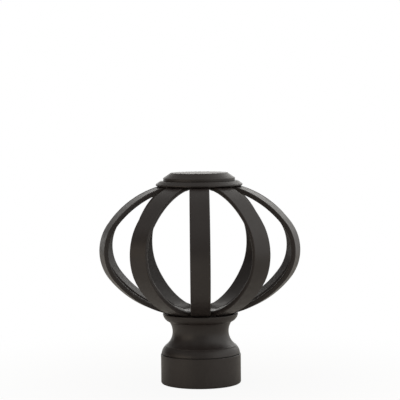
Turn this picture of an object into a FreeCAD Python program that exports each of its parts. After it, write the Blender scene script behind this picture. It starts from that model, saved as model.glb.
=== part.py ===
import FreeCAD, Part
import os
from math import sqrt

import Sketcher

# Curtain pole finial: a cage of bent flat strips between a turned neck and a turned cap.
# Millimetres, +Z up, origin at the centre of the socket's mouth, first strip towards -Y.

SIZES = [
    # Socket that slides over the pole
    ("pole_diameter", 28.0),
    ("pole_play", 0.15),
    ("collar_wall", 1.95),
    ("collar_height", 11.9),
    ("collar_foot_round", 0.8),
    ("collar_top_round", 0.25),
    ("socket_run_on", 1.1),
    # Turned neck above the collar
    ("quirk_depth", 0.9),
    ("quirk_height", 0.35),
    ("bead_inset", 0.3),
    ("bead_run", 1.7),
    ("bead_height", 3.2),
    ("bead_bulge", 0.36),
    ("cove_height", 9.45),
    ("cove_depth", 1.98),
    ("lip_overhang", 2.32),
    ("lip_run", 2.55),
    ("lip_rise", 2.85),
    ("lip_bulge", 0.5),
    ("lip_land", 0.3),
    ("lip_round", 0.25),
    ("cavity_radius", 8.6),
    ("web_thickness", 4.5),
    # Bent strips of the cage, and the discs that carry their ends
    ("rib_count", 10),
    ("strip_width", 7.8),
    ("strip_thickness", 2.0),
    ("strip_edge_round", 0.3),
    ("cage_radius", 40.65),
    ("belly_radius", 18.0),
    ("belly_angle", 39.0),
    ("shoulder_radius", 41.5),
    ("foot_gap", 0.1),
    ("strip_setback", 0.1),
    ("hub_thickness", 1.0),
    ("boss_diameter", 7.6),
    ("boss_height", 3.0),
    # Turned cap
    ("cap_height", 4.3),
    ("cap_overhang", 4.6),
    ("cap_gap", 0.2),
    ("rim_land", 0.5),
    ("rim_inset", 0.25),
    ("rim_edge_height", 0.3),
    ("rim_face", 0.4),
    ("rim_bevel_run", 1.7),
    ("rim_top", 1.05),
    ("ledge_run", 1.37),
    ("tier_undercut", 0.12),
    ("tier_foot", 1.2),
    ("tier_bevel_run", 2.75),
    ("tier_round", 0.2),
    # Screws
    ("thread_play", 0.05),
    ("hole_play", 0.25),
    ("head_land", 0.4),
    ("head_bulge", 0.45),
    ("screw_tip", 0.4),
    ("neck_screw_diameter", 5.0),
    ("neck_head_diameter", 9.5),
    ("neck_head_height", 2.75),
    ("neck_key", 3.0),
    ("neck_key_depth", 1.6),
    ("neck_screw_setback", 0.2),
    ("cap_screw_diameter", 4.0),
    ("cap_head_diameter", 7.6),
    ("cap_head_height", 2.2),
    ("cap_key", 2.5),
    ("cap_key_depth", 1.3),
    ("cap_screw_grip", 2.8),
    ("cap_tap_run_out", 0.3),
    ("grub_diameter", 4.0),
    ("grub_length", 3.0),
    ("grub_setback", 0.2),
    ("grub_key", 2.0),
    ("grub_key_depth", 1.4),
]

# Radii and heights of the neck that follow from the sheet
BORE = "(Sizes.pole_diameter / 2 + Sizes.pole_play)"
COLLAR = f"({BORE} + Sizes.collar_wall)"
QUIRK = f"({COLLAR} - Sizes.quirk_depth)"
SOCKET_TOP = "(Sizes.collar_height + Sizes.socket_run_on)"
BEAD = f"({COLLAR} - Sizes.bead_inset)"
BEAD_FOOT = "(Sizes.collar_height + Sizes.quirk_height)"
COVE_FOOT = f"({BEAD_FOOT} + Sizes.bead_height)"
LIP_FOOT = f"({COVE_FOOT} + Sizes.cove_height)"
LIP_BELLY = f"({LIP_FOOT} + Sizes.lip_rise)"
LIP_EDGE = f"({LIP_BELLY} + Sizes.lip_land)"
NECK_TOP = f"({LIP_EDGE} + Sizes.lip_round)"
WEB_FOOT = f"({NECK_TOP} - Sizes.web_thickness)"
NECK_HOLE = "(Sizes.neck_screw_diameter / 2 + Sizes.hole_play)"

# The discs have one flat for each strip, wide enough for the strips to stand side by side
HUB_FLAT = "((Sizes.strip_width + Sizes.foot_gap) / (2 * tan(180 / Sizes.rib_count)))"
HUB_CORNER = f"({HUB_FLAT} / cos(180 / Sizes.rib_count))"
LIP = f"({HUB_CORNER} + Sizes.lip_overhang)"

# A strip's belly arc and shoulder arcs share a tangent, so its two faces are concentric arcs
BELLY_CENTRE = "(Sizes.cage_radius - Sizes.belly_radius)"
ARC_STEP = "(Sizes.shoulder_radius - Sizes.belly_radius)"
SHOULDER_CENTRE = f"({BELLY_CENTRE} - {ARC_STEP} * cos(Sizes.belly_angle))"
SHOULDER_DROP = f"({ARC_STEP} * sin(Sizes.belly_angle))"
INNER_SHOULDER = "(Sizes.shoulder_radius - Sizes.strip_thickness)"
INNER_BELLY = "(Sizes.belly_radius - Sizes.strip_thickness)"


def shoulder_height(arc_radius, reach):
    """Height above the cage's equator of a shoulder arc, at a distance from the axis."""
    return f"(sqrt(pow({arc_radius}; 2) - pow({reach} - {SHOULDER_CENTRE}; 2)) - {SHOULDER_DROP})"


def join_point(arc_radius):
    """Point above the equator where a belly arc runs into a shoulder arc."""
    across = f"({BELLY_CENTRE} + {arc_radius} * cos(Sizes.belly_angle))"
    return across, f"({arc_radius} * sin(Sizes.belly_angle))"


END_OUTER = shoulder_height("Sizes.shoulder_radius", HUB_FLAT)
END_INNER = shoulder_height(INNER_SHOULDER, HUB_FLAT)
EQUATOR = f"({NECK_TOP} + Sizes.strip_setback + {END_OUTER})"
CAP_SEAT = f"({EQUATOR} + {END_OUTER} + Sizes.strip_setback)"
UPPER_HUB_FOOT = f"({CAP_SEAT} - Sizes.hub_thickness)"

# The cap's rim hangs over the strips and stops just above their corners
RIM = f"({HUB_CORNER} + Sizes.cap_overhang)"
RIM_FOOT_OUTER = f"({RIM} - Sizes.rim_inset)"
RIM_FOOT_INNER = f"({RIM_FOOT_OUTER} - Sizes.rim_land)"
STRIP_AT_RIM = f"sqrt(pow({RIM_FOOT_INNER}; 2) - pow(Sizes.strip_width / 2; 2))"
STRIP_TOP_AT_RIM = shoulder_height("Sizes.shoulder_radius", STRIP_AT_RIM)
RIM_FOOT = f"({STRIP_TOP_AT_RIM} + Sizes.cap_gap - {END_OUTER} - Sizes.strip_setback)"

OUTWARD, INWARD = 1, -1
Z_AXIS = FreeCAD.Vector(0, 0, 1)
FRONT_ANGLE = -90

doc = FreeCAD.newDocument("finial")
sheet = doc.addObject("Spreadsheet::Sheet", "Sizes")
for row, (alias, value) in enumerate(SIZES, start=1):
    sheet.set(f"A{row}", alias)
    sheet.set(f"B{row}", str(value))
    sheet.setAlias(f"B{row}", alias)
doc.recompute()


def value_of(expression):
    return float(sheet.evalExpression(expression))


def new_body(label, height="0"):
    """Empty body with its label, set up at a height on the axis."""
    body = doc.addObject("PartDesign::Body", label)
    body.Label = label
    body.setExpression("Placement.Base.z", height)
    return body


def attach(item, body, plane, offset="0"):
    """Attach a sketch or a primitive to one of its own body's origin planes."""
    support = [feature for feature in body.Origin.OriginFeatures if feature.Role == plane][0]
    item.AttachmentSupport = [(support, "")]
    item.MapMode = "FlatFace"
    item.setExpression("AttachmentOffset.Base.z", offset)


def new_sketch(body, name, plane):
    sketch = body.newObject("Sketcher::SketchObject", name)
    attach(sketch, body, plane)
    return sketch


def bind(sketch, expression, *constraint):
    """Add a sketch constraint whose value follows an expression."""
    index = sketch.addConstraint(Sketcher.Constraint(*constraint, value_of(expression)))
    sketch.setExpression(f"Constraints[{index}]", expression)


def place_point(sketch, point, across, up):
    """Tie a sketch point to the sketch's origin by its two distances."""
    origin, across_axis, up_axis = (-1, 1), -1, -2
    if across == "0":
        sketch.addConstraint(Sketcher.Constraint("PointOnObject", *point, up_axis))
    else:
        bind(sketch, across, "DistanceX", *origin, *point)
    if up == "0":
        sketch.addConstraint(Sketcher.Constraint("PointOnObject", *point, across_axis))
    else:
        bind(sketch, up, "DistanceY", *origin, *point)


def radius_from_bulge(corner, following, bulge):
    """Radius of the arc between two corners that stands off its chord by the bulge."""
    run = f"({following[0]} - {corner[0]})"
    rise = f"({following[1]} - {corner[1]})"
    return f"((pow({run}; 2) + pow({rise}; 2)) / (8 * {bulge}) + {bulge} / 2)"


def rounded(radius):
    """Edge that is an outward arc of this radius."""
    return "radius", radius, OUTWARD


def hollowed(radius):
    """Edge that is an inward arc of this radius."""
    return "radius", radius, INWARD


def bulged(bulge, side=OUTWARD):
    """Edge that is an arc which stands off its chord by the bulge."""
    return "bulge", bulge, side


def arc_through(start, finish, radius, side):
    """Smaller arc between two points, bulging to the right of the way on, or to the left."""
    chord = finish - start
    right = FreeCAD.Vector(chord.y, -chord.x, 0).normalize()
    rise = radius - sqrt(radius ** 2 - chord.Length ** 2 / 4)
    return Part.Arc(start, (start + finish) / 2 + right * rise * side, finish)


def draw_outline(sketch, corners):
    """Closed outline, anticlockwise. A corner is (across, up), and then the arc that leaves it, if any."""
    points = [FreeCAD.Vector(value_of(corner[0]), value_of(corner[1]), 0) for corner in corners]
    starts, ends = [], []
    for number, corner in enumerate(corners):
        following = corners[(number + 1) % len(corners)]
        start, finish = points[number], points[(number + 1) % len(points)]
        if len(corner) == 2:
            edge = sketch.addGeometry(Part.LineSegment(start, finish))
            first, last = 1, 2
        else:
            kind, size, side = corner[2]
            radius = size if kind == "radius" else radius_from_bulge(corner, following, size)
            edge = sketch.addGeometry(arc_through(start, finish, value_of(radius), side))
            bind(sketch, radius, "Radius", edge)
            first, last = (1, 2) if side == OUTWARD else (2, 1)
        starts.append((edge, first))
        ends.append((edge, last))
    for number, corner in enumerate(corners):
        sketch.addConstraint(Sketcher.Constraint("Coincident", *ends[number - 1], *starts[number]))
        place_point(sketch, starts[number], corner[0], corner[1])


def revolve_outline(body, corners):
    """Turn an outline of radii and heights about the body's own Z axis."""
    sketch = new_sketch(body, f"{body.Label}_profile", "XZ_Plane")
    draw_outline(sketch, corners)
    turned = body.newObject("PartDesign::Revolution", f"{body.Label}_turned")
    turned.Profile = sketch
    turned.ReferenceAxis = (sketch, ["V_Axis"])
    turned.Angle = 360
    return turned


def cut_key(body, across_flats, depth, foot):
    """Six-sided key recess that runs up from a height on the axis."""
    key = body.newObject("PartDesign::SubtractivePrism", f"{body.Label}_key")
    attach(key, body, "XY_Plane", foot)
    key.Polygon = 6
    key.setExpression("Circumradius", f"{across_flats} / sqrt(3)")
    key.setExpression("Height", depth)


def make_neck():
    """Turned neck with the pole's socket, a cored cavity, a web for the screw and the grub's hole."""
    body = new_body("neck_socket")
    revolve_outline(body, [
        (BORE, "0"),
        (f"({COLLAR} - Sizes.collar_foot_round)", "0", rounded("Sizes.collar_foot_round")),
        (COLLAR, "Sizes.collar_foot_round"),
        (COLLAR, "(Sizes.collar_height - Sizes.collar_top_round)", rounded("Sizes.collar_top_round")),
        (f"({COLLAR} - Sizes.collar_top_round)", "Sizes.collar_height"),
        (QUIRK, "Sizes.collar_height"),
        (QUIRK, BEAD_FOOT),
        (BEAD, BEAD_FOOT, bulged("Sizes.bead_bulge")),
        (f"({BEAD} - Sizes.bead_run)", COVE_FOOT, bulged("Sizes.cove_depth", INWARD)),
        (f"({LIP} - Sizes.lip_run)", LIP_FOOT, bulged("Sizes.lip_bulge")),
        (LIP, LIP_BELLY),
        (LIP, LIP_EDGE, rounded("Sizes.lip_round")),
        (f"({LIP} - Sizes.lip_round)", NECK_TOP),
        (NECK_HOLE, NECK_TOP),
        (NECK_HOLE, WEB_FOOT),
        ("Sizes.cavity_radius", WEB_FOOT),
        ("Sizes.cavity_radius", SOCKET_TOP),
        (BORE, SOCKET_TOP),
    ])
    sketch = new_sketch(body, "grub_hole_circle", "XZ_Plane")
    circle = sketch.addGeometry(Part.Circle(FreeCAD.Vector(0, 0, 0), Z_AXIS, 1))
    place_point(sketch, (circle, 3), "0", "Sizes.collar_height / 2")
    bind(sketch, "Sizes.grub_diameter / 2 + Sizes.thread_play", "Radius", circle)
    hole = body.newObject("PartDesign::Pocket", "grub_hole")
    hole.Profile = sketch
    hole.setExpression("Length", f"{COLLAR} + Sizes.grub_length")
    return body


def make_hub(label, foot, hole_radius, boss_height=None):
    """Disc with one flat for each strip and a hole for the screw, with a boss above it if asked for."""
    solid = doc.addObject("Part::Prism", f"{label}_disc")
    solid.setExpression("Polygon", "Sizes.rib_count")
    solid.setExpression("Circumradius", HUB_CORNER)
    solid.setExpression("Height", "Sizes.hub_thickness")
    hole_depth = "Sizes.hub_thickness"
    if boss_height:
        boss = doc.addObject("Part::Cylinder", f"{label}_boss")
        boss.setExpression("Radius", "Sizes.boss_diameter / 2")
        boss.setExpression("Height", boss_height)
        boss.setExpression("Placement.Base.z", "Sizes.hub_thickness")
        disc, solid = solid, doc.addObject("Part::Fuse", f"{label}_with_boss")
        solid.Base = disc
        solid.Tool = boss
        hole_depth = f"(Sizes.hub_thickness + {boss_height})"
    hole = doc.addObject("Part::Cylinder", f"{label}_hole")
    hole.setExpression("Radius", hole_radius)
    hole.setExpression("Height", hole_depth)
    hub = doc.addObject("Part::Cut", label)
    hub.Label = label
    hub.Base = solid
    hub.Tool = hole
    corner_angle = FRONT_ANGLE + value_of("180 / Sizes.rib_count")
    hub.Placement.Rotation = FreeCAD.Rotation(Z_AXIS, corner_angle)
    hub.setExpression("Placement.Base.z", foot)
    return hub


def make_rib(number):
    """Flat strip bent into a belly arc between two shoulder arcs, with its ends on the discs' flats."""
    body = new_body(f"rib_{number + 1:02d}", EQUATOR)
    outer_join, outer_height = join_point("Sizes.belly_radius")
    inner_join, inner_height = join_point(INNER_BELLY)
    sketch = new_sketch(body, f"{body.Label}_section", "XZ_Plane")
    draw_outline(sketch, [
        (HUB_FLAT, f"(-{END_OUTER})", rounded("Sizes.shoulder_radius")),
        (outer_join, f"(-{outer_height})", rounded("Sizes.belly_radius")),
        (outer_join, outer_height, rounded("Sizes.shoulder_radius")),
        (HUB_FLAT, END_OUTER),
        (HUB_FLAT, END_INNER, hollowed(INNER_SHOULDER)),
        (inner_join, inner_height, hollowed(INNER_BELLY)),
        (inner_join, f"(-{inner_height})", hollowed(INNER_SHOULDER)),
        (HUB_FLAT, f"(-{END_INNER})"),
    ])
    strip = body.newObject("PartDesign::Pad", f"{body.Label}_strip")
    strip.Profile = sketch
    strip.SideType = "Symmetric"
    strip.setExpression("Length", "Sizes.strip_width")
    doc.recompute()
    bent_edges = [
        f"Edge{index}"
        for index, edge in enumerate(strip.Shape.Edges, start=1)
        if isinstance(edge.Curve, Part.Circle)
    ]
    soft = body.newObject("PartDesign::Fillet", f"{body.Label}_edges")
    soft.Base = (strip, bent_edges)
    soft.setExpression("Radius", "Sizes.strip_edge_round")
    turn = number * value_of("360 / Sizes.rib_count")
    body.Placement.Rotation = FreeCAD.Rotation(Z_AXIS, FRONT_ANGLE + turn)
    return body


def make_cap():
    """Two-tier turned cap whose dished underside seats on the upper disc, clear of the strips."""
    body = new_body("end_cap", CAP_SEAT)
    tap = "(Sizes.cap_screw_diameter / 2 + Sizes.thread_play)"
    tap_top = "(Sizes.cap_screw_grip + Sizes.cap_tap_run_out)"
    rim_corner = f"({RIM_FOOT} + Sizes.rim_edge_height)"
    ledge = f"({RIM} - Sizes.rim_bevel_run)"
    tier_foot = f"({ledge} - Sizes.ledge_run)"
    tier_corner = f"({tier_foot} + Sizes.tier_undercut)"
    tier_top = f"({tier_corner} - Sizes.tier_bevel_run)"
    revolve_outline(body, [
        (tap, "0"),
        (f"({HUB_CORNER} + Sizes.cap_gap)", "0"),
        (RIM_FOOT_INNER, RIM_FOOT),
        (RIM_FOOT_OUTER, RIM_FOOT),
        (RIM, rim_corner),
        (RIM, f"({rim_corner} + Sizes.rim_face)"),
        (ledge, "Sizes.rim_top"),
        (tier_foot, "Sizes.rim_top"),
        (tier_corner, "(Sizes.rim_top + Sizes.tier_foot)"),
        (tier_top, "(Sizes.cap_height - Sizes.tier_round)"),
        (f"({tier_top} - Sizes.tier_round)", "Sizes.cap_height"),
        ("0", "Sizes.cap_height"),
        ("0", tap_top),
        (tap, tap_top),
    ])
    return body


def make_button_screw(label, seat, name, length):
    """Button head screw with its head below the seat and its shank running up."""
    body = new_body(label, seat)
    shank = f"(Sizes.{name}_screw_diameter / 2)"
    head = f"(Sizes.{name}_head_diameter / 2)"
    crown = f"(Sizes.{name}_key / sqrt(3) + Sizes.head_land)"
    head_foot = f"(-Sizes.{name}_head_height)"
    revolve_outline(body, [
        ("0", head_foot),
        (crown, head_foot, bulged("Sizes.head_bulge")),
        (head, "(-Sizes.head_land)"),
        (head, "0"),
        (shank, "0"),
        (shank, f"({length} - Sizes.screw_tip)"),
        (f"({shank} - Sizes.screw_tip)", length),
        ("0", length),
    ])
    cut_key(body, f"Sizes.{name}_key", f"Sizes.{name}_key_depth", head_foot)
    return body


def make_grub():
    """Headless screw through the back of the collar, backed out clear of the bore."""
    body = new_body("grub_screw", "Sizes.collar_height / 2")
    rod = body.newObject("PartDesign::AdditiveCylinder", "grub_rod")
    attach(rod, body, "XY_Plane")
    rod.setExpression("Radius", "Sizes.grub_diameter / 2")
    rod.setExpression("Height", "Sizes.grub_length")
    cut_key(body, "Sizes.grub_key", "Sizes.grub_key_depth", "Sizes.grub_length - Sizes.grub_key_depth")
    body.Placement.Rotation = FreeCAD.Rotation(Z_AXIS, FreeCAD.Vector(0, 1, 0))
    body.setExpression("Placement.Base.y", f"{BORE} + Sizes.grub_setback")
    return body


def check_document(pieces):
    """Stop where a feature failed or a piece has no valid shape."""
    for item in doc.Objects:
        if "Invalid" in item.State or "Error" in item.State:
            raise RuntimeError(f"{item.Label} failed: {item.State}")
    for piece in pieces:
        if piece.Shape.isNull() or not piece.Shape.isValid() or len(piece.Shape.Solids) != 1:
            raise RuntimeError(f"{piece.Label} is not one valid solid")
    grub_hole = doc.getObject("grub_hole")
    if grub_hole.Shape.Volume >= grub_hole.BaseFeature.Shape.Volume:
        raise RuntimeError("the grub's hole cuts nothing")


pieces = [make_neck()]
neck_tap = "Sizes.neck_screw_diameter / 2 + Sizes.thread_play"
pieces.append(make_hub("lower_hub", NECK_TOP, neck_tap, boss_height="Sizes.boss_height"))
cap_hole = "Sizes.cap_screw_diameter / 2 + Sizes.hole_play"
pieces.append(make_hub("upper_hub", UPPER_HUB_FOOT, cap_hole))
for number in range(round(value_of("Sizes.rib_count"))):
    pieces.append(make_rib(number))
pieces.append(make_cap())
neck_grip = "Sizes.hub_thickness + Sizes.boss_height - Sizes.neck_screw_setback"
neck_screw_length = f"(Sizes.web_thickness + {neck_grip})"
pieces.append(make_button_screw("neck_screw", WEB_FOOT, "neck", neck_screw_length))
cap_screw_length = "(Sizes.hub_thickness + Sizes.cap_screw_grip)"
pieces.append(make_button_screw("cap_screw", UPPER_HUB_FOOT, "cap", cap_screw_length))
pieces.append(make_grub())
doc.recompute()
check_document(pieces)

os.makedirs("parts", exist_ok=True)
for piece in pieces:
    piece.Shape.exportStep(f"parts/{piece.Label}.step")
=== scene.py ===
from math import asin, cos, hypot, pi, radians, sin, sqrt, tan

import bmesh
import bpy
from mathutils import Matrix, Vector


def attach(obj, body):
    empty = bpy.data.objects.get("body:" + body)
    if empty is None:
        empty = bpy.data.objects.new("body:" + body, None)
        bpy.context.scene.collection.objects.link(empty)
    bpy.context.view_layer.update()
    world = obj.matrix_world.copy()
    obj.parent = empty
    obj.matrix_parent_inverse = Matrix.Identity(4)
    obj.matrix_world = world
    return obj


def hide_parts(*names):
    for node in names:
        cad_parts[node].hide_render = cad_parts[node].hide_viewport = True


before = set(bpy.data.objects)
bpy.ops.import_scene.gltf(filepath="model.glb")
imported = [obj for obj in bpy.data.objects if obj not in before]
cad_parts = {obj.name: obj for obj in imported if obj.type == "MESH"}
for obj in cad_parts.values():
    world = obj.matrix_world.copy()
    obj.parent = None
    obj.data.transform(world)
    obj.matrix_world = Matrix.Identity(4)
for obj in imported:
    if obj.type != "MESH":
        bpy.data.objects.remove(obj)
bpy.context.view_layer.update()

# Curtain pole finial: ten bent strips between a turned cap and a turned neck, all in one satin
# dark bronze paint. The shapes are drawn in millimetres, as in the part's source, and scaled once.
MM = 0.001
MERGE_DISTANCE = 0.0005
LATHE_SEGMENTS = 128
SCREW_SEGMENTS = 48
ARC_STEP = radians(6)
ARC_STEPS_MIN = 4
RING_SEGMENTS = 3
RING_TOLERANCE = 0.02
WALL_TOLERANCE = 0.1
SHARP_ANGLE = radians(32)
NECK_SHARP_ANGLE = radians(11)

# Socket and neck
BORE = 14.15
COLLAR = 16.1
COLLAR_HEIGHT = 11.9
COLLAR_FOOT_ROUND = 0.8
COLLAR_TOP_ROUND = 0.25
SOCKET_TOP = 13.0
QUIRK = 15.2
BEAD = 15.8
BEAD_RUN = 1.3
BEAD_FOOT = 12.25
BEAD_TOP = 15.05
BEAD_BULGE = 0.24
FILLET = 14.28
COVE_FOOT = 15.28
COVE_DEPTH = 2.05
LIP_FOOT = 24.9
LIP_RUN = 2.55
LIP_BULGE = 0.5
LIP_BELLY = 27.75
LIP_EDGE = 28.05
LIP_ROUND = 0.25
NECK_TOP = 28.3
WEB_FOOT = 23.8
CAVITY = 8.6
NECK_HOLE = 2.75

# Strips and the discs that carry their ends
RIB_COUNT = 10
STRIP_WIDTH = 7.8
STRIP_THICKNESS = 2.0
STRIP_OUTER_ROUND = 0.3
STRIP_INNER_ROUND = 0.8
STRIP_EDGE_SEGMENTS = 5
STRIP_SETBACK = 0.1
FOOT_GAP = 0.1
CAGE_RADIUS = 40.65
STRIP_MIDDLE = CAGE_RADIUS - STRIP_THICKNESS / 2
BELLY_RADIUS = 18.0
BELLY_ANGLE = radians(39)
BELLY_STEPS = 16
SHOULDER_RADIUS = 41.5
SHOULDER_SWEEP = radians(46)
SHOULDER_STEPS = 26
HUB_THICKNESS = 1.0
LOWER_HUB_TAP = 2.55
UPPER_HUB_HOLE = 2.25
BOSS = 3.8
BOSS_HEIGHT = 3.0
BOSS_EDGE_ROUND = 0.3
HUB_FLAT = (STRIP_WIDTH + FOOT_GAP) / (2 * tan(pi / RIB_COUNT))
HUB_CORNER = HUB_FLAT / cos(pi / RIB_COUNT)
HUB_BLANK = HUB_CORNER + 0.5
LIP = HUB_CORNER + 2.32
BELLY_CENTRE = CAGE_RADIUS - BELLY_RADIUS
SHOULDER_CENTRE = BELLY_CENTRE - (SHOULDER_RADIUS - BELLY_RADIUS) * cos(BELLY_ANGLE)
SHOULDER_DROP = (SHOULDER_RADIUS - BELLY_RADIUS) * sin(BELLY_ANGLE)


def shoulder_height(arc_radius, reach):
    """Height above the cage's equator of a shoulder arc, at a distance from the axis."""
    return sqrt(arc_radius ** 2 - (reach - SHOULDER_CENTRE) ** 2) - SHOULDER_DROP


END_OUTER = shoulder_height(SHOULDER_RADIUS, HUB_FLAT)
EQUATOR = NECK_TOP + STRIP_SETBACK + END_OUTER
CAP_SEAT = EQUATOR + END_OUTER + STRIP_SETBACK
UPPER_HUB_FOOT = CAP_SEAT - HUB_THICKNESS

# Welds in the corners between the strips' ends and the discs
WELD_LENGTH = 7.2
WELD_RIPPLES = 12
WELD_SWELL = 1.012
WELD_ON_DISC = 5.0
WELD_ON_STRIP = 1.5
WELD_CROWN = 0.09
WELD_SINK = 0.03

# Cap
CAP_HEIGHT = 4.3
CAP_GAP = 0.2
CAP_EDGE_ROUND = 0.14
RIM = HUB_CORNER + 4.6
RIM_FOOT_OUTER = RIM - 0.25
RIM_FOOT_INNER = RIM_FOOT_OUTER - 0.5
STRIP_AT_RIM = sqrt(RIM_FOOT_INNER ** 2 - (STRIP_WIDTH / 2) ** 2)
RIM_FOOT = EQUATOR + shoulder_height(SHOULDER_RADIUS, STRIP_AT_RIM) + CAP_GAP
RIM_CORNER = RIM_FOOT + 0.3
RIM_FACE = 0.4
RIM_TOP = CAP_SEAT + 1.05
LEDGE = RIM - 1.7
TIER_FOOT = LEDGE - 1.37
TIER_CORNER = TIER_FOOT + 0.12
TIER_CORNER_HEIGHT = RIM_TOP + 1.2
TIER_TOP = TIER_CORNER - 2.75
TIER_ROUND = 0.2
CAP_TAP = 2.05
CAP_TAP_TOP = CAP_SEAT + 3.1

# Studio floor, and the distances from the axis between which its shadow fades to white
FLOOR_RADIUS = 0.5
FLOOR_SEGMENTS = 96
FLOOR_DROP = 0.0001
FLOOR_CREAM = (0.72, 0.69, 0.64, 1)
SHADOW_START = 0.02
SHADOW_END = 0.16
WHITE_IN_SHADOW = 0.92

# Studio light
MIDDLE = (0, 0, 0.05)
AMBIENT = 0.7
OVERHEAD = 0.33
RIGHT_WALL = 1.0
FRONT_WALL = 0.2
STUDIO_WHITE = (1.0, 0.985, 0.95, 1)

# Camera, in metres and degrees
CAMERA_PLACE = (-0.0024, -0.6335, 0.1114)
CAMERA_TILT = 3.4
CAMERA_YAW = -0.244
CAMERA_ROLL = -0.6
CAMERA_LENS = 142.5
CAMERA_SENSOR = 36.0
CAMERA_CLIP = 0.01

# Screws
HEAD_LAND = 0.4
HEAD_BULGE = 0.45
SCREW_TIP = 0.4
HEAD_EDGE_ROUND = 0.1
GRUB_RADIUS = 2.0
GRUB_LENGTH = 3.0
GRUB_FOOT = 14.35
GRUB_HEIGHT = 5.95
GRUB_KEY = 2.0
GRUB_KEY_DEPTH = 1.4
GRUB_PITCH = 0.7
GRUB_ROOT = 1.62
GRUB_CREST = GRUB_RADIUS - 0.01
CREST_START = 0.44
CREST_END = 0.56
THREAD_LEAD_IN = 1.5
THREAD_SPARE_TURNS = 3

# Part of the collar's back that is cleared and drawn again round the grub screw's hole
GRUB_HOLE = 2.05
HOLE_PATCH_FOOT = 2.95
HOLE_PATCH_TOP = 8.95
HOLE_PATCH_ROWS = 8
HOLE_PATCH_COLUMNS = 9


def finish_piece(shape, name, material, node=None, sharp_angle=SHARP_ANGLE):
    """Close a drawn shape, scale it to metres and put it in place of its node, if it has one."""
    bmesh.ops.remove_doubles(shape, verts=shape.verts[:], dist=MERGE_DISTANCE)
    bmesh.ops.recalc_face_normals(shape, faces=shape.faces[:])
    bmesh.ops.scale(shape, vec=(MM, MM, MM), verts=shape.verts[:])
    for face in shape.faces:
        face.smooth = True
    mesh = bpy.data.meshes.new(name)
    shape.to_mesh(mesh)
    shape.free()
    mesh.set_sharp_from_angle(angle=sharp_angle)
    mesh.materials.append(material)
    piece = bpy.data.objects.new(name, mesh)
    bpy.context.scene.collection.objects.link(piece)
    shading = piece.modifiers.new("even_shading", "WEIGHTED_NORMAL")
    shading.keep_sharp = True
    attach(piece, "root")
    if node:
        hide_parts(node)


def everything(shape):
    """All of a shape, as the cutting and mirroring operators take it."""
    return shape.verts[:] + shape.edges[:] + shape.faces[:]


def last_of(spun, kind):
    """Items of one kind at the end of a spin."""
    return [item for item in spun["geom_last"] if isinstance(item, kind)]


def line_to(outline, corner, radius, height):
    """Run an outline on from a corner with a straight line."""
    following = bmesh.ops.extrude_vert_indiv(outline, verts=[corner])["verts"][0]
    following.co = (radius, 0, height)
    return following


def arc_to(outline, corner, radius, height, bulge):
    """Run an outline on with an arc, which stands off its chord to the right, or left if below 0."""
    start, finish = corner.co.copy(), Vector((radius, 0, height))
    chord = finish - start
    rise = abs(bulge)
    arc_radius = chord.length ** 2 / (8 * rise) + rise / 2
    left = Vector((-chord.z, 0, chord.x)).normalized()
    side = 1 if bulge > 0 else -1
    centre = (start + finish) / 2 + left * (arc_radius - rise) * side
    angle = 2 * asin(min(1.0, chord.length / (2 * arc_radius)))
    steps = max(ARC_STEPS_MIN, round(angle / ARC_STEP))
    spun = bmesh.ops.spin(
        outline, geom=[corner], cent=centre, axis=(0, -1, 0), angle=angle * side, steps=steps
    )
    following = last_of(spun, bmesh.types.BMVert)[0]
    following.co = finish
    return following


def quarter_bulge(radius):
    """Rise of a quarter round over its chord."""
    return radius * (1 - sqrt(0.5))


def turned_shape(corners, segments):
    """Outline of (radius, height, bulge of the arc that leads there) turned once round the axis."""
    shape = bmesh.new()
    corner = shape.verts.new((corners[0][0], 0, corners[0][1]))
    for radius, height, *bulge in corners[1:]:
        if bulge:
            corner = arc_to(shape, corner, radius, height, bulge[0])
        else:
            corner = line_to(shape, corner, radius, height)
    bmesh.ops.spin(
        shape, geom=shape.verts[:] + shape.edges[:], cent=(0, 0, 0), axis=(0, 0, 1),
        angle=2 * pi, steps=segments, use_merge=True,
    )
    bmesh.ops.remove_doubles(shape, verts=shape.verts[:], dist=MERGE_DISTANCE)
    bmesh.ops.recalc_face_normals(shape, faces=shape.faces[:])
    return shape


def soften_rings(shape, rings, width):
    """Round off the turned edges at these radii and heights."""
    def on_ring(vertex, ring):
        radius_off = abs(hypot(vertex.co.x, vertex.co.y) - ring[0])
        height_off = abs(vertex.co.z - ring[1])
        return radius_off < RING_TOLERANCE and height_off < RING_TOLERANCE

    edges = [
        edge for edge in shape.edges
        if any(all(on_ring(vertex, ring) for vertex in edge.verts) for ring in rings)
    ]
    bmesh.ops.bevel(
        shape, geom=edges, offset=width, offset_type="OFFSET", segments=RING_SEGMENTS, profile=0.5,
        affect="EDGES", clamp_overlap=True, material=-1,
    )


def edges_among(shape, vertices):
    """Edges that run between these vertices, in the shape's own order."""
    chosen = set(vertices)
    return [edge for edge in shape.edges if all(vertex in chosen for vertex in edge.verts)]


def link_nodes(tree, *links):
    """Link pairs of an output and an input."""
    for start, finish in links:
        tree.links.new(start, finish)


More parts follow.
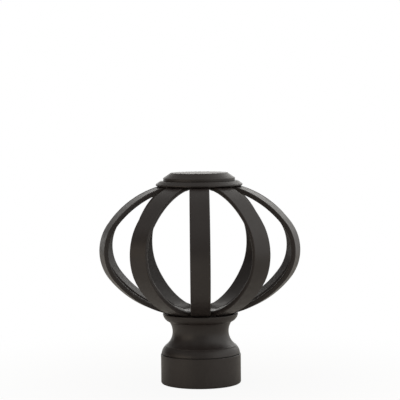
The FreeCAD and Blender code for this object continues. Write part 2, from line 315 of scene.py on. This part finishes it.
def satin_paint():
    """Satin dark bronze paint: faint clouding, fine orange peel and uneven gloss."""
    material = bpy.data.materials.new("satin_dark_bronze_paint")
    material.use_nodes = True
    tree = material.node_tree
    nodes = tree.nodes
    paint = nodes["Principled BSDF"]
    paint.inputs["IOR"].default_value = 1.5
    place = nodes.new("ShaderNodeTexCoord")

    clouds = nodes.new("ShaderNodeTexNoise")
    clouds.inputs["Scale"].default_value = 85
    clouds.inputs["Detail"].default_value = 4
    clouds.inputs["Roughness"].default_value = 0.55
    tones = nodes.new("ShaderNodeValToRGB")
    tones.color_ramp.elements[0].position = 0.3
    tones.color_ramp.elements[0].color = (0.0205, 0.0157, 0.0143, 1)
    tones.color_ramp.elements[1].position = 0.7
    tones.color_ramp.elements[1].color = (0.0247, 0.0191, 0.0174, 1)

    gloss_clouds = nodes.new("ShaderNodeTexNoise")
    gloss_clouds.inputs["Scale"].default_value = 420
    gloss_clouds.inputs["Detail"].default_value = 3
    gloss = nodes.new("ShaderNodeMapRange")
    gloss.inputs["From Min"].default_value = 0.3
    gloss.inputs["From Max"].default_value = 0.7
    gloss.inputs["To Min"].default_value = 0.36
    gloss.inputs["To Max"].default_value = 0.44

    peel = nodes.new("ShaderNodeTexNoise")
    peel.inputs["Scale"].default_value = 1500
    peel.inputs["Detail"].default_value = 2
    skin = nodes.new("ShaderNodeBump")
    skin.inputs["Strength"].default_value = 0.05
    skin.inputs["Distance"].default_value = 0.00012

    link_nodes(
        tree,
        (place.outputs["Object"], clouds.inputs["Vector"]),
        (place.outputs["Object"], gloss_clouds.inputs["Vector"]),
        (place.outputs["Object"], peel.inputs["Vector"]),
        (clouds.outputs["Fac"], tones.inputs["Fac"]),
        (tones.outputs["Color"], paint.inputs["Base Color"]),
        (gloss_clouds.outputs["Fac"], gloss.inputs["Value"]),
        (gloss.outputs["Result"], paint.inputs["Roughness"]),
        (peel.outputs["Fac"], skin.inputs["Height"]),
        (skin.outputs["Normal"], paint.inputs["Normal"]),
    )
    return material


def zinc_steel():
    """Zinc-plated screw steel: spangled tone, turned brush marks and uneven gloss."""
    material = bpy.data.materials.new("zinc_plated_steel")
    material.use_nodes = True
    tree = material.node_tree
    nodes = tree.nodes
    steel = nodes["Principled BSDF"]
    steel.inputs["Metallic"].default_value = 1.0
    place = nodes.new("ShaderNodeTexCoord")

    spangle = nodes.new("ShaderNodeTexVoronoi")
    spangle.inputs["Scale"].default_value = 1400
    tones = nodes.new("ShaderNodeValToRGB")
    tones.color_ramp.elements[0].color = (0.36, 0.36, 0.37, 1)
    tones.color_ramp.elements[1].color = (0.50, 0.50, 0.51, 1)

    marks = nodes.new("ShaderNodeTexNoise")
    marks.inputs["Scale"].default_value = 2600
    marks.inputs["Detail"].default_value = 3
    gloss = nodes.new("ShaderNodeMapRange")
    gloss.inputs["To Min"].default_value = 0.26
    gloss.inputs["To Max"].default_value = 0.48
    skin = nodes.new("ShaderNodeBump")
    skin.inputs["Strength"].default_value = 0.15
    skin.inputs["Distance"].default_value = 0.00005

    link_nodes(
        tree,
        (place.outputs["Object"], spangle.inputs["Vector"]),
        (place.outputs["Object"], marks.inputs["Vector"]),
        (spangle.outputs["Color"], tones.inputs["Fac"]),
        (tones.outputs["Color"], steel.inputs["Base Color"]),
        (marks.outputs["Fac"], gloss.inputs["Value"]),
        (gloss.outputs["Result"], steel.inputs["Roughness"]),
        (marks.outputs["Fac"], skin.inputs["Height"]),
        (skin.outputs["Normal"], steel.inputs["Normal"]),
    )
    return material


PAINT = satin_paint()
STEEL = zinc_steel()


def turned_neck():
    """Lip, cove, bead and collar outside, socket and cavity inside, with the grub's hole at the back."""
    row_height = (HOLE_PATCH_TOP - HOLE_PATCH_FOOT) / HOLE_PATCH_ROWS
    row_heights = [HOLE_PATCH_FOOT + row_height * row for row in range(HOLE_PATCH_ROWS + 1)]
    collar_side = [(COLLAR, height) for height in row_heights]
    bore_side = [(BORE, height) for height in reversed(row_heights)]
    shape = turned_shape([
        (BORE, 0),
        (COLLAR - COLLAR_FOOT_ROUND, 0),
        (COLLAR, COLLAR_FOOT_ROUND, quarter_bulge(COLLAR_FOOT_ROUND)),
        *collar_side,
        (COLLAR, COLLAR_HEIGHT - COLLAR_TOP_ROUND),
        (COLLAR - COLLAR_TOP_ROUND, COLLAR_HEIGHT, quarter_bulge(COLLAR_TOP_ROUND)),
        (QUIRK, COLLAR_HEIGHT),
        (QUIRK, BEAD_FOOT),
        (BEAD, BEAD_FOOT),
        (BEAD - BEAD_RUN, BEAD_TOP, BEAD_BULGE),
        (FILLET, BEAD_TOP),
        (FILLET, COVE_FOOT),
        (LIP - LIP_RUN, LIP_FOOT, -COVE_DEPTH),
        (LIP, LIP_BELLY, LIP_BULGE),
        (LIP, LIP_EDGE),
        (LIP - LIP_ROUND, NECK_TOP, quarter_bulge(LIP_ROUND)),
        (NECK_HOLE, NECK_TOP),
        (NECK_HOLE, WEB_FOOT),
        (CAVITY, WEB_FOOT),
        (CAVITY, SOCKET_TOP),
        (BORE, SOCKET_TOP),
        *bore_side,
        (BORE, 0),
    ], LATHE_SEGMENTS)
    drill_collar(shape)
    finish_piece(shape, "turned_neck", PAINT, "neck_socket", NECK_SHARP_ANGLE)


def drill_collar(shape):
    """Open a round hole through the back of the collar's wall."""
    half_patch = HOLE_PATCH_COLUMNS * pi / LATHE_SEGMENTS
    rims = []
    for wall in (COLLAR, BORE):
        patch = [
            face for face in shape.faces
            if abs(hypot(*face.calc_center_median().xy) - wall) < WALL_TOLERANCE
            and face.calc_center_median().y > wall * cos(half_patch)
            and HOLE_PATCH_FOOT < face.calc_center_median().z < HOLE_PATCH_TOP
        ]
        border = [
            edge for face in patch for edge in face.edges
            if sum(linked in patch for linked in edge.link_faces) == 1
        ]
        bmesh.ops.delete(shape, geom=patch, context="FACES")
        rim = bmesh.ops.create_circle(shape, segments=len(border), radius=GRUB_HOLE)["verts"]
        bmesh.ops.rotate(shape, cent=(0, 0, 0), matrix=Matrix.Rotation(pi / 2, 3, "X"), verts=rim)
        for vertex in rim:
            vertex.co.y = sqrt(wall ** 2 - vertex.co.x ** 2)
            vertex.co.z += GRUB_HEIGHT
        rim_edges = edges_among(shape, rim)
        bmesh.ops.bridge_loops(shape, edges=border + rim_edges)
        rims.append(rim_edges)
    bmesh.ops.bridge_loops(shape, edges=rims[0] + rims[1])


def rib_angle(number):
    """Angle of a strip round the axis, from the first one, which faces the camera."""
    return -pi / 2 + number * 2 * pi / RIB_COUNT


def stand_at_rib(shape, number):
    """Raise a shape drawn about the equator and turn it to its strip's place."""
    bmesh.ops.translate(shape, vec=(0, 0, EQUATOR), verts=shape.verts[:])
    turn = Matrix.Rotation(rib_angle(number), 3, "Z")
    bmesh.ops.rotate(shape, cent=(0, 0, 0), matrix=turn, verts=shape.verts[:])


def flatted_disc(name, node, foot, hole_radius, boss=()):
    """Disc that is turned with its hole and boss, if any, then cut to one flat for each strip."""
    shape = turned_shape([
        (hole_radius, foot),
        (HUB_BLANK, foot),
        (HUB_BLANK, foot + HUB_THICKNESS),
        *boss,
        (hole_radius, boss[-1][1] if boss else foot + HUB_THICKNESS),
        (hole_radius, foot),
    ], LATHE_SEGMENTS)
    for number in range(RIB_COUNT):
        angle = rib_angle(number)
        outward = Vector((cos(angle), sin(angle), 0))
        bmesh.ops.bisect_plane(
            shape, geom=everything(shape), dist=MERGE_DISTANCE,
            plane_co=outward * HUB_FLAT, plane_no=outward, clear_outer=True,
        )
        bmesh.ops.holes_fill(shape, edges=[edge for edge in shape.edges if edge.is_boundary], sides=0)
    finish_piece(shape, name, PAINT, node)


def bent_strip(number):
    """Strip with rounded edges: half a belly arc and a shoulder arc, cut at its disc and mirrored."""
    shape = bmesh.new()
    section = bmesh.ops.create_grid(shape, x_segments=1, y_segments=1, size=0.5)["verts"]
    bmesh.ops.scale(shape, vec=(STRIP_THICKNESS, STRIP_WIDTH, 1), verts=section)
    bmesh.ops.translate(shape, vec=(STRIP_MIDDLE, 0, 0), verts=section)
    inner = [vertex for vertex in section if vertex.co.x < STRIP_MIDDLE]
    outer = [vertex for vertex in section if vertex not in inner]
    for corners, rounding in ((inner, STRIP_INNER_ROUND), (outer, STRIP_OUTER_ROUND)):
        bmesh.ops.bevel(
            shape, geom=corners, offset=rounding, offset_type="OFFSET", segments=STRIP_EDGE_SEGMENTS,
            profile=0.5, affect="VERTICES", material=-1,
        )
    bmesh.ops.delete(shape, geom=shape.faces[:], context="FACES_ONLY")
    belly = bmesh.ops.spin(
        shape, geom=shape.verts[:] + shape.edges[:], cent=(BELLY_CENTRE, 0, 0), axis=(0, -1, 0),
        angle=BELLY_ANGLE, steps=BELLY_STEPS,
    )
    bmesh.ops.spin(
        shape, geom=belly["geom_last"], cent=(SHOULDER_CENTRE, 0, -SHOULDER_DROP), axis=(0, -1, 0),
        angle=SHOULDER_SWEEP, steps=SHOULDER_STEPS,
    )
    bmesh.ops.bisect_plane(
        shape, geom=everything(shape), dist=MERGE_DISTANCE,
        plane_co=(HUB_FLAT, 0, 0), plane_no=(1, 0, 0), clear_inner=True,
    )
    open_edges = [edge for edge in shape.edges if edge.is_boundary]
    end = [edge for edge in open_edges if edge.verts[0].co.z > STRIP_THICKNESS]
    bmesh.ops.holes_fill(shape, edges=end, sides=0)
    bmesh.ops.mirror(
        shape, geom=everything(shape), matrix=Matrix.Identity(4),
        merge_dist=MERGE_DISTANCE, axis="Z",
    )
    stand_at_rib(shape, number)
    label = f"{number + 1:02d}"
    finish_piece(shape, f"bent_strip_{label}", PAINT, f"rib_{label}")


def corner_weld(number, end):
    """Dressed weld that blends a strip's end into its disc, at the foot or, mirrored, at the head. It
    narrows towards the axis, clear of its neighbours."""
    disc_face = NECK_TOP + HUB_THICKNESS - EQUATOR
    toe = HUB_FLAT + WELD_ON_STRIP
    strip_face = -shoulder_height(SHOULDER_RADIUS - STRIP_THICKNESS, toe)
    shape = bmesh.new()
    first = shape.verts.new((HUB_FLAT - WELD_ON_DISC, 0, disc_face - WELD_SINK))
    corner = line_to(shape, first, HUB_FLAT + WELD_SINK, disc_face - WELD_SINK)
    corner = line_to(shape, corner, toe, strip_face - WELD_SINK)
    arc_to(shape, corner, first.co.x, first.co.z, WELD_CROWN)
    bmesh.ops.remove_doubles(shape, verts=shape.verts[:], dist=MERGE_DISTANCE)
    front = bmesh.ops.contextual_create(shape, geom=shape.edges[:])["faces"]
    bmesh.ops.translate(shape, vec=(0, -WELD_LENGTH / 2, 0), verts=shape.verts[:])
    heel = Matrix.Translation((-HUB_FLAT, 0, -disc_face))
    for ripple in range(WELD_RIPPLES):
        grown = bmesh.ops.extrude_face_region(shape, geom=front)["geom"]
        ring = [item for item in grown if isinstance(item, bmesh.types.BMVert)]
        front = [item for item in grown if isinstance(item, bmesh.types.BMFace)]
        swell = WELD_SWELL if ripple % 2 else 1 / WELD_SWELL
        bmesh.ops.scale(shape, vec=(swell, 1, swell), space=heel, verts=ring)
        bmesh.ops.translate(shape, vec=(0, WELD_LENGTH / WELD_RIPPLES, 0), verts=ring)
    for vertex in shape.verts:
        vertex.co.y *= min(1, vertex.co.x / HUB_FLAT)
    if end == "head":
        bmesh.ops.scale(shape, vec=(1, 1, -1), verts=shape.verts[:])
    stand_at_rib(shape, number)
    finish_piece(shape, f"{end}_weld_{number + 1:02d}", PAINT)


def turned_cap():
    """Two tiers outside, dished underside that seats on the upper disc, tapped for its screw."""
    shape = turned_shape([
        (CAP_TAP, CAP_SEAT),
        (HUB_CORNER + CAP_GAP, CAP_SEAT),
        (RIM_FOOT_INNER, RIM_FOOT),
        (RIM_FOOT_OUTER, RIM_FOOT),
        (RIM, RIM_CORNER),
        (RIM, RIM_CORNER + RIM_FACE),
        (LEDGE, RIM_TOP),
        (TIER_FOOT, RIM_TOP),
        (TIER_CORNER, TIER_CORNER_HEIGHT),
        (TIER_TOP, CAP_SEAT + CAP_HEIGHT - TIER_ROUND),
        (TIER_TOP - TIER_ROUND, CAP_SEAT + CAP_HEIGHT),
        (0, CAP_SEAT + CAP_HEIGHT),
        (0, CAP_TAP_TOP),
        (CAP_TAP, CAP_TAP_TOP),
        (CAP_TAP, CAP_SEAT),
    ], LATHE_SEGMENTS)
    soften_rings(shape, [(LEDGE, RIM_TOP), (TIER_CORNER, TIER_CORNER_HEIGHT)], CAP_EDGE_ROUND)
    finish_piece(shape, "turned_cap", PAINT, "end_cap")


def cut_key(shape, rim_edges, key, depth):
    """Close a screw's open end with a six-sided key recess that runs up from it."""
    height = rim_edges[0].verts[0].co.z
    hexagon = bmesh.ops.create_circle(shape, segments=6, radius=key / sqrt(3))["verts"]
    bmesh.ops.translate(shape, vec=(0, 0, height), verts=hexagon)
    sides = edges_among(shape, hexagon)
    bmesh.ops.triangle_fill(shape, use_beauty=True, edges=rim_edges + sides, normal=(0, 0, -1))
    walls = bmesh.ops.extrude_edge_only(shape, edges=sides)["geom"]
    floor = [item for item in walls if isinstance(item, bmesh.types.BMVert)]
    bmesh.ops.translate(shape, vec=(0, 0, depth), verts=floor)
    floor_edges = [
        item for item in walls
        if isinstance(item, bmesh.types.BMEdge) and all(vertex in floor for vertex in item.verts)
    ]
    filled = bmesh.ops.holes_fill(shape, edges=floor_edges, sides=0)["faces"]
    bmesh.ops.poke(shape, faces=filled)


def button_screw(name, node, seat, length, shank, head, head_height, key, key_depth):
    """Domed head below its seat, with a key recess, and a shank with a chamfered tip."""
    crown = key / sqrt(3) + HEAD_LAND
    shape = turned_shape([
        (crown, seat - head_height),
        (head, seat - HEAD_LAND, HEAD_BULGE),
        (head, seat),
        (shank, seat),
        (shank, seat + length - SCREW_TIP),
        (shank - SCREW_TIP, seat + length),
        (0, seat + length),
    ], SCREW_SEGMENTS)
    soften_rings(shape, [(head, seat - HEAD_LAND)], HEAD_EDGE_ROUND)
    rim = [edge for edge in shape.edges if edge.is_boundary]
    cut_key(shape, rim, key, key_depth)
    finish_piece(shape, name, STEEL, node)


def threaded_grub():
    """Headless screw with a cut thread, its key recess towards the back."""
    shape = bmesh.new()
    thread_turns = GRUB_LENGTH / GRUB_PITCH + THREAD_SPARE_TURNS
    first = -THREAD_LEAD_IN * GRUB_PITCH
    corner = shape.verts.new((GRUB_ROOT, 0, first))
    corner = line_to(shape, corner, GRUB_CREST, first + GRUB_PITCH * CREST_START)
    corner = line_to(shape, corner, GRUB_CREST, first + GRUB_PITCH * CREST_END)
    line_to(shape, corner, GRUB_ROOT, first + GRUB_PITCH)
    steps = round(thread_turns * SCREW_SEGMENTS)
    bmesh.ops.spin(
        shape, geom=shape.verts[:] + shape.edges[:], cent=(0, 0, 0), axis=(0, 0, 1),
        dvec=(0, 0, GRUB_PITCH / SCREW_SEGMENTS), angle=2 * pi * steps / SCREW_SEGMENTS, steps=steps,
    )
    bmesh.ops.remove_doubles(shape, verts=shape.verts[:], dist=MERGE_DISTANCE)
    for height, inward in ((0, 1), (GRUB_LENGTH, -1)):
        bmesh.ops.bisect_plane(
            shape, geom=everything(shape), dist=MERGE_DISTANCE,
            plane_co=(0, 0, height), plane_no=(0, 0, inward), clear_inner=True,
        )
    rims = [edge for edge in shape.edges if edge.is_boundary]
    inner_end = [edge for edge in rims if edge.verts[0].co.z > GRUB_LENGTH / 2]
    outer_end = [edge for edge in rims if edge.verts[0].co.z < GRUB_LENGTH / 2]
    bmesh.ops.triangle_fill(shape, use_beauty=True, edges=inner_end, normal=(0, 0, 1))
    cut_key(shape, outer_end, GRUB_KEY, GRUB_KEY_DEPTH)
    to_back = Matrix.Rotation(pi / 2, 3, "X")
    bmesh.ops.rotate(shape, cent=(0, 0, 0), matrix=to_back, verts=shape.verts[:])
    bmesh.ops.translate(shape, vec=(0, GRUB_FOOT + GRUB_LENGTH, GRUB_HEIGHT), verts=shape.verts[:])
    finish_piece(shape, "threaded_grub", STEEL, "grub_screw")


turned_neck()
boss_foot = NECK_TOP + HUB_THICKNESS
boss_top = boss_foot + BOSS_HEIGHT
flatted_disc("lower_flatted_disc", "lower_hub", NECK_TOP, LOWER_HUB_TAP, [
    (BOSS, boss_foot),
    (BOSS, boss_top - BOSS_EDGE_ROUND),
    (BOSS - BOSS_EDGE_ROUND, boss_top, quarter_bulge(BOSS_EDGE_ROUND)),
])
flatted_disc("upper_flatted_disc", "upper_hub", UPPER_HUB_FOOT, UPPER_HUB_HOLE)
for strip_number in range(RIB_COUNT):
    bent_strip(strip_number)
    corner_weld(strip_number, "foot")
    corner_weld(strip_number, "head")
turned_cap()
button_screw(
    "neck_button_screw", "neck_screw", seat=WEB_FOOT, length=8.3, shank=2.5,
    head=4.75, head_height=2.75, key=3.0, key_depth=1.6,
)
button_screw(
    "cap_button_screw", "cap_screw", seat=UPPER_HUB_FOOT, length=3.8, shank=2.0,
    head=3.8, head_height=2.2, key=2.5, key_depth=1.3,
)
threaded_grub()


def white_floor():
    """Pale floor that looks white to the camera, and keeps the finial's soft shadow close to it."""
    shape = bmesh.new()
    bmesh.ops.create_circle(shape, cap_ends=True, segments=FLOOR_SEGMENTS, radius=FLOOR_RADIUS)
    mesh = bpy.data.meshes.new("floor")
    shape.to_mesh(mesh)
    shape.free()
    floor = bpy.data.objects.new("floor", mesh)
    floor.location.z = -FLOOR_DROP
    bpy.context.scene.collection.objects.link(floor)

    material = bpy.data.materials.new("white_floor_paint")
    material.use_nodes = True
    tree = material.node_tree
    nodes = tree.nodes
    lit = nodes["Principled BSDF"]
    lit.inputs["Roughness"].default_value = 1.0
    lit.inputs["Specular IOR Level"].default_value = 0.0
    lit.inputs["Base Color"].default_value = FLOOR_CREAM
    glow = nodes.new("ShaderNodeEmission")
    glow.inputs["Strength"].default_value = 1.0
    place = nodes.new("ShaderNodeTexCoord")
    reach = nodes.new("ShaderNodeVectorMath")
    reach.operation = "LENGTH"
    white_out = nodes.new("ShaderNodeMapRange")
    white_out.interpolation_type = "SMOOTHSTEP"
    white_out.inputs["From Min"].default_value = SHADOW_START
    white_out.inputs["From Max"].default_value = SHADOW_END
    white_out.inputs["To Min"].default_value = WHITE_IN_SHADOW
    white_out.inputs["To Max"].default_value = 1.0
    path = nodes.new("ShaderNodeLightPath")
    share = nodes.new("ShaderNodeMath")
    share.operation = "MULTIPLY"
    mix = nodes.new("ShaderNodeMixShader")
    link_nodes(
        tree,
        (place.outputs["Object"], reach.inputs[0]),
        (reach.outputs["Value"], white_out.inputs["Value"]),
        (path.outputs["Is Camera Ray"], share.inputs[0]),
        (white_out.outputs["Result"], share.inputs[1]),
        (share.outputs["Value"], mix.inputs["Fac"]),
        (lit.outputs["BSDF"], mix.inputs[1]),
        (glow.outputs["Emission"], mix.inputs[2]),
        (mix.outputs["Shader"], nodes["Material Output"].inputs["Surface"]),
    )
    mesh.materials.append(material)


def studio_surround():
    """World that is white to the camera and even to matt surfaces. Gloss sees the white backdrop behind
    the finial, the white wall on its right, a faint wall in front and a dimmer ceiling, and a dark
    room elsewhere."""
    world = bpy.data.worlds.new("studio_surround")
    bpy.context.scene.world = world
    world.use_nodes = True
    tree = world.node_tree
    nodes = tree.nodes
    place = nodes.new("ShaderNodeTexCoord")

    def white_side(toward, start, finish, strength):
        """Brightness that grows from start to finish, which are cosines from a direction."""
        facing = nodes.new("ShaderNodeVectorMath")
        facing.operation = "DOT_PRODUCT"
        facing.inputs[1].default_value = toward
        side = nodes.new("ShaderNodeMapRange")
        side.interpolation_type = "SMOOTHSTEP"
        side.inputs["From Min"].default_value = start
        side.inputs["From Max"].default_value = finish
        side.inputs["To Max"].default_value = strength
        link_nodes(
            tree,
            (place.outputs["Generated"], facing.inputs[0]),
            (facing.outputs["Value"], side.inputs["Value"]),
        )
        return side.outputs["Result"]

    def joined(operation, first, second):
        """Result of one calculation with two outputs."""
        join = nodes.new("ShaderNodeMath")
        join.operation = operation
        link_nodes(tree, (first, join.inputs[0]), (second, join.inputs[1]))
        return join.outputs["Value"]

    backdrop = white_side((0, 1, 0), 0.68, 1.0, 1.0)
    right_wall = white_side((1, 0, 0), 0.05, 0.85, RIGHT_WALL)
    front_wall = white_side((0, -1, 0), 0.4, 1.0, FRONT_WALL)
    ceiling = white_side((0, 0, 1), 0.2, 0.9, OVERHEAD)
    path = nodes.new("ShaderNodeLightPath")
    glossy = nodes.new("ShaderNodeBackground")
    glossy.inputs["Color"].default_value = STUDIO_WHITE
    even = nodes.new("ShaderNodeBackground")
    even.inputs["Color"].default_value = STUDIO_WHITE
    even.inputs["Strength"].default_value = AMBIENT
    white = nodes["Background"]
    white.inputs["Color"].default_value = (1, 1, 1, 1)
    white.inputs["Strength"].default_value = 1.0
    gloss_or_even = nodes.new("ShaderNodeMixShader")
    seen_or_not = nodes.new("ShaderNodeMixShader")
    seen = joined("MAXIMUM", path.outputs["Is Camera Ray"], path.outputs["Is Transmission Ray"])
    walls = joined("MAXIMUM", joined("MAXIMUM", backdrop, right_wall), front_wall)
    link_nodes(
        tree,
        (joined("ADD", walls, ceiling), glossy.inputs["Strength"]),
        (path.outputs["Is Glossy Ray"], gloss_or_even.inputs["Fac"]),
        (even.outputs["Background"], gloss_or_even.inputs[1]),
        (glossy.outputs["Background"], gloss_or_even.inputs[2]),
        (seen, seen_or_not.inputs["Fac"]),
        (gloss_or_even.outputs["Shader"], seen_or_not.inputs[1]),
        (white.outputs["Background"], seen_or_not.inputs[2]),
        (seen_or_not.outputs["Shader"], nodes["World Output"].inputs["Surface"]),
    )


def softbox(name, place, target, width, height, power, colour):
    """Rectangular lamp aimed at a point."""
    lamp = bpy.data.lights.new(name, "AREA")
    lamp.shape = "RECTANGLE"
    lamp.size = width
    lamp.size_y = height
    lamp.energy = power
    lamp.color = colour
    holder = bpy.data.objects.new(name, lamp)
    holder.location = place
    aim = Vector(target) - Vector(place)
    holder.rotation_euler = aim.to_track_quat("-Z", "Y").to_euler()
    holder.visible_camera = False
    bpy.context.scene.collection.objects.link(holder)


def photo_camera():
    """Camera of the photograph, worked out for its square frame."""
    camera = bpy.data.cameras.new("photo_camera")
    camera.sensor_width = CAMERA_SENSOR
    camera.lens = CAMERA_LENS
    camera.clip_start = CAMERA_CLIP
    holder = bpy.data.objects.new("photo_camera", camera)
    level = Matrix.Rotation(radians(90 - CAMERA_TILT), 4, "X")
    yaw = Matrix.Rotation(radians(CAMERA_YAW), 4, "Z")
    roll = Matrix.Rotation(radians(CAMERA_ROLL), 4, "Z")
    holder.matrix_world = Matrix.Translation(CAMERA_PLACE) @ yaw @ level @ roll
    bpy.context.scene.collection.objects.link(holder)
    bpy.context.scene.camera = holder


white_floor()
studio_surround()
softbox("key_box", (-0.45, -0.15, 0.95), MIDDLE, 0.8, 0.8, 0.3, (1.0, 0.99, 0.97))
softbox("high_back_box", (0.4, 0.95, 0.6), MIDDLE, 0.4, 0.4, 0.5, (1.0, 0.99, 0.96))
softbox("back_right_box", (0.6, 0.8, 0.42), MIDDLE, 0.5, 0.35, 0.35, (1.0, 0.99, 0.96))
softbox("back_box", (0.0, 1.0, 0.2), MIDDLE, 0.5, 0.25, 0.5, (1.0, 1.0, 0.98))
softbox("low_left_box", (-0.7, -0.5, 0.16), (0, 0, 0.03), 0.8, 0.4, 0.95, (1.0, 0.86, 0.7))
softbox("low_back_left_box", (-0.7, 0.9, 0.1), MIDDLE, 0.3, 0.16, 0.15, (1.0, 0.98, 0.94))
photo_camera()
bpy.context.scene.view_settings.view_transform = "Standard"
